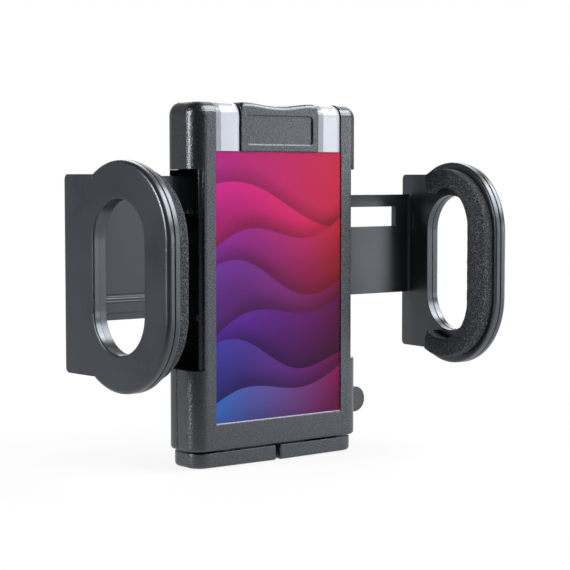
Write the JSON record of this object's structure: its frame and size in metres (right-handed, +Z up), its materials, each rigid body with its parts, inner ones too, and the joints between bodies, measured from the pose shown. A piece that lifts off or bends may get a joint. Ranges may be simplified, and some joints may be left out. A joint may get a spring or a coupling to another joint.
{
  "type": "phone holder",
  "caption": "Car phone holder with a printed front panel, two padded arms that slide in step, a push button above and two swivelling feet below.",
  "frame": {"origin": "bottom centre of the bounding box, under the feet", "axes": "+X across the holder towards its right as seen from the front, +Y from the front to the back, +Z up"},
  "size_m": [0.1322, 0.0488, 0.1075],
  "materials": {
    "shell_plastic": "matte",
    "panel_print": "gloss",
    "trim_silver": "satin",
    "arm_plastic": "satin",
    "jaw_plastic": "satin",
    "foam": "matte",
    "steel": "satin",
    "white_acetal": "satin"
  },
  "bodies": {
    "root": {"front_shell": "shell_plastic", "rear_shell": "shell_plastic", "front_panel": "panel_print", "left_trim": "trim_silver", "right_trim": "trim_silver", "left_button_spring": "steel", "right_button_spring": "steel", "pinion_pin": "steel", "pinion_spring": "steel", "left_foot_washer": "arm_plastic", "right_foot_washer": "arm_plastic", "case_screws": "steel"},
    "right_arm": {"right_arm": "arm_plastic", "right_jaw_cover": "jaw_plastic", "right_foam_pad": "foam"},
    "left_arm": {"left_arm": "arm_plastic", "left_jaw_cover": "jaw_plastic", "left_foam_pad": "foam"},
    "pinion": {"pinion_gear": "white_acetal"},
    "button": {"release_button": "shell_plastic", "latch_slider": "steel"},
    "left_foot": {"left_foot": "shell_plastic"},
    "right_foot": {"right_foot": "shell_plastic"},
    "foot_lock": {"foot_lock_bar": "shell_plastic"}
  },
  "joints": [
    {"name": "right_arm_slide", "type": "slide", "parent": "root", "child": "right_arm", "axis": [-1, 0, 0], "range_m": [0, 0.027]},
    {"name": "left_arm_slide", "type": "slide", "parent": "root", "child": "left_arm", "axis": [1, 0, 0], "range_m": [0, 0.027]},
    {"name": "pinion_spin", "type": "hinge", "parent": "root", "child": "pinion", "pos_m": [0, 0.01846, 0.0727], "axis": [0, 1, 0], "range_deg": [0, 620]},
    {"name": "button_press", "type": "slide", "parent": "root", "child": "button", "axis": [0, 1, 0], "range_m": [0, 0.002], "stiffness_N_per_m": 600, "springref_m": -0.001, "deforming": ["left_button_spring", "right_button_spring"]},
    {"name": "right_foot_swing", "type": "hinge", "parent": "root", "child": "right_foot", "pos_m": [0.0224, 0.01641, 0.0045], "axis": [0, 0, 1], "range_deg": [0, 90]},
    {"name": "left_foot_swing", "type": "hinge", "parent": "root", "child": "left_foot", "pos_m": [-0.0224, 0.01641, 0.0045], "axis": [0, 0, 1], "range_deg": [-90, 0]},
    {"name": "foot_lock_slide", "type": "slide", "parent": "root", "child": "foot_lock", "axis": [-1, 0, 0], "range_m": [0, 0.003]}
  ],
  "couplings": [
    {"joint": "left_arm_slide", "follows": "right_arm_slide", "ratio": 1},
    {"joint": "pinion_spin", "follows": "right_arm_slide", "rad_per_m": 400}
  ]
}
